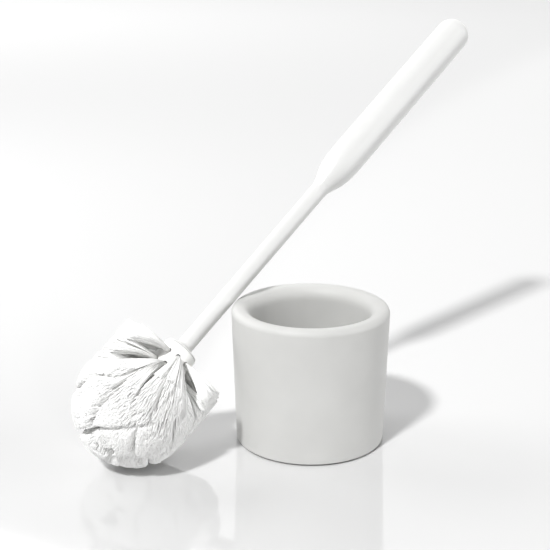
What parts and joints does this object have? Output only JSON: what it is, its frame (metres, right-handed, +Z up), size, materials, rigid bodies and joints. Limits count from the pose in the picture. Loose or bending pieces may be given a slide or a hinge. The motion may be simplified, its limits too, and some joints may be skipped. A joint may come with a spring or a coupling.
{
  "type": "toilet brush and holder",
  "caption": "Round double-walled brush cup with a rounded rim, and a round-headed brush with a slim stem and a thick grip leaning on the rim.",
  "frame": {"origin": "middle of the cup's foot, on the floor it stands on", "axes": "+Z up along the cup's axis, +X to the right and +Y away, seen from the front"},
  "size_m": [0.2637, 0.2595, 0.2509],
  "materials": {
    "cup_plastic": "fine matt moulding, light neutral grey-white",
    "handle_plastic": "satin white moulding",
    "head_plastic": "satin white moulding",
    "bristle": "soft white filament",
    "anchor_wire": "galvanised flat wire",
    "foot_rubber": "matt soft foam rubber"
  },
  "bodies": {
    "holder": {"cup_body": "cup_plastic", "base_plate": "cup_plastic", "foot_pad": "foot_rubber"},
    "brush_head": {"head_core": "head_plastic", "tuft_row_1": "bristle", "tuft_row_2": "bristle", "tuft_row_3": "bristle", "tuft_row_4": "bristle", "tuft_row_5": "bristle", "tuft_row_6": "bristle", "tuft_row_7": "bristle", "tuft_row_8": "bristle", "anchor_row_1": "anchor_wire", "anchor_row_2": "anchor_wire", "anchor_row_3": "anchor_wire", "anchor_row_4": "anchor_wire", "anchor_row_5": "anchor_wire", "anchor_row_6": "anchor_wire", "anchor_row_7": "anchor_wire", "anchor_row_8": "anchor_wire"},
    "handle": {"handle": "handle_plastic"}
  },
  "joints": [
    {"name": "brush_lift", "type": "slide", "parent": "holder", "child": "brush_head", "axis": [0, 0, 1], "range_m": [0, 0.12]},
    {"name": "handle_release", "type": "slide", "parent": "brush_head", "child": "handle", "axis": [0.5932, 0.5812, 0.5571], "range_m": [0, 0.02]}
  ]
}
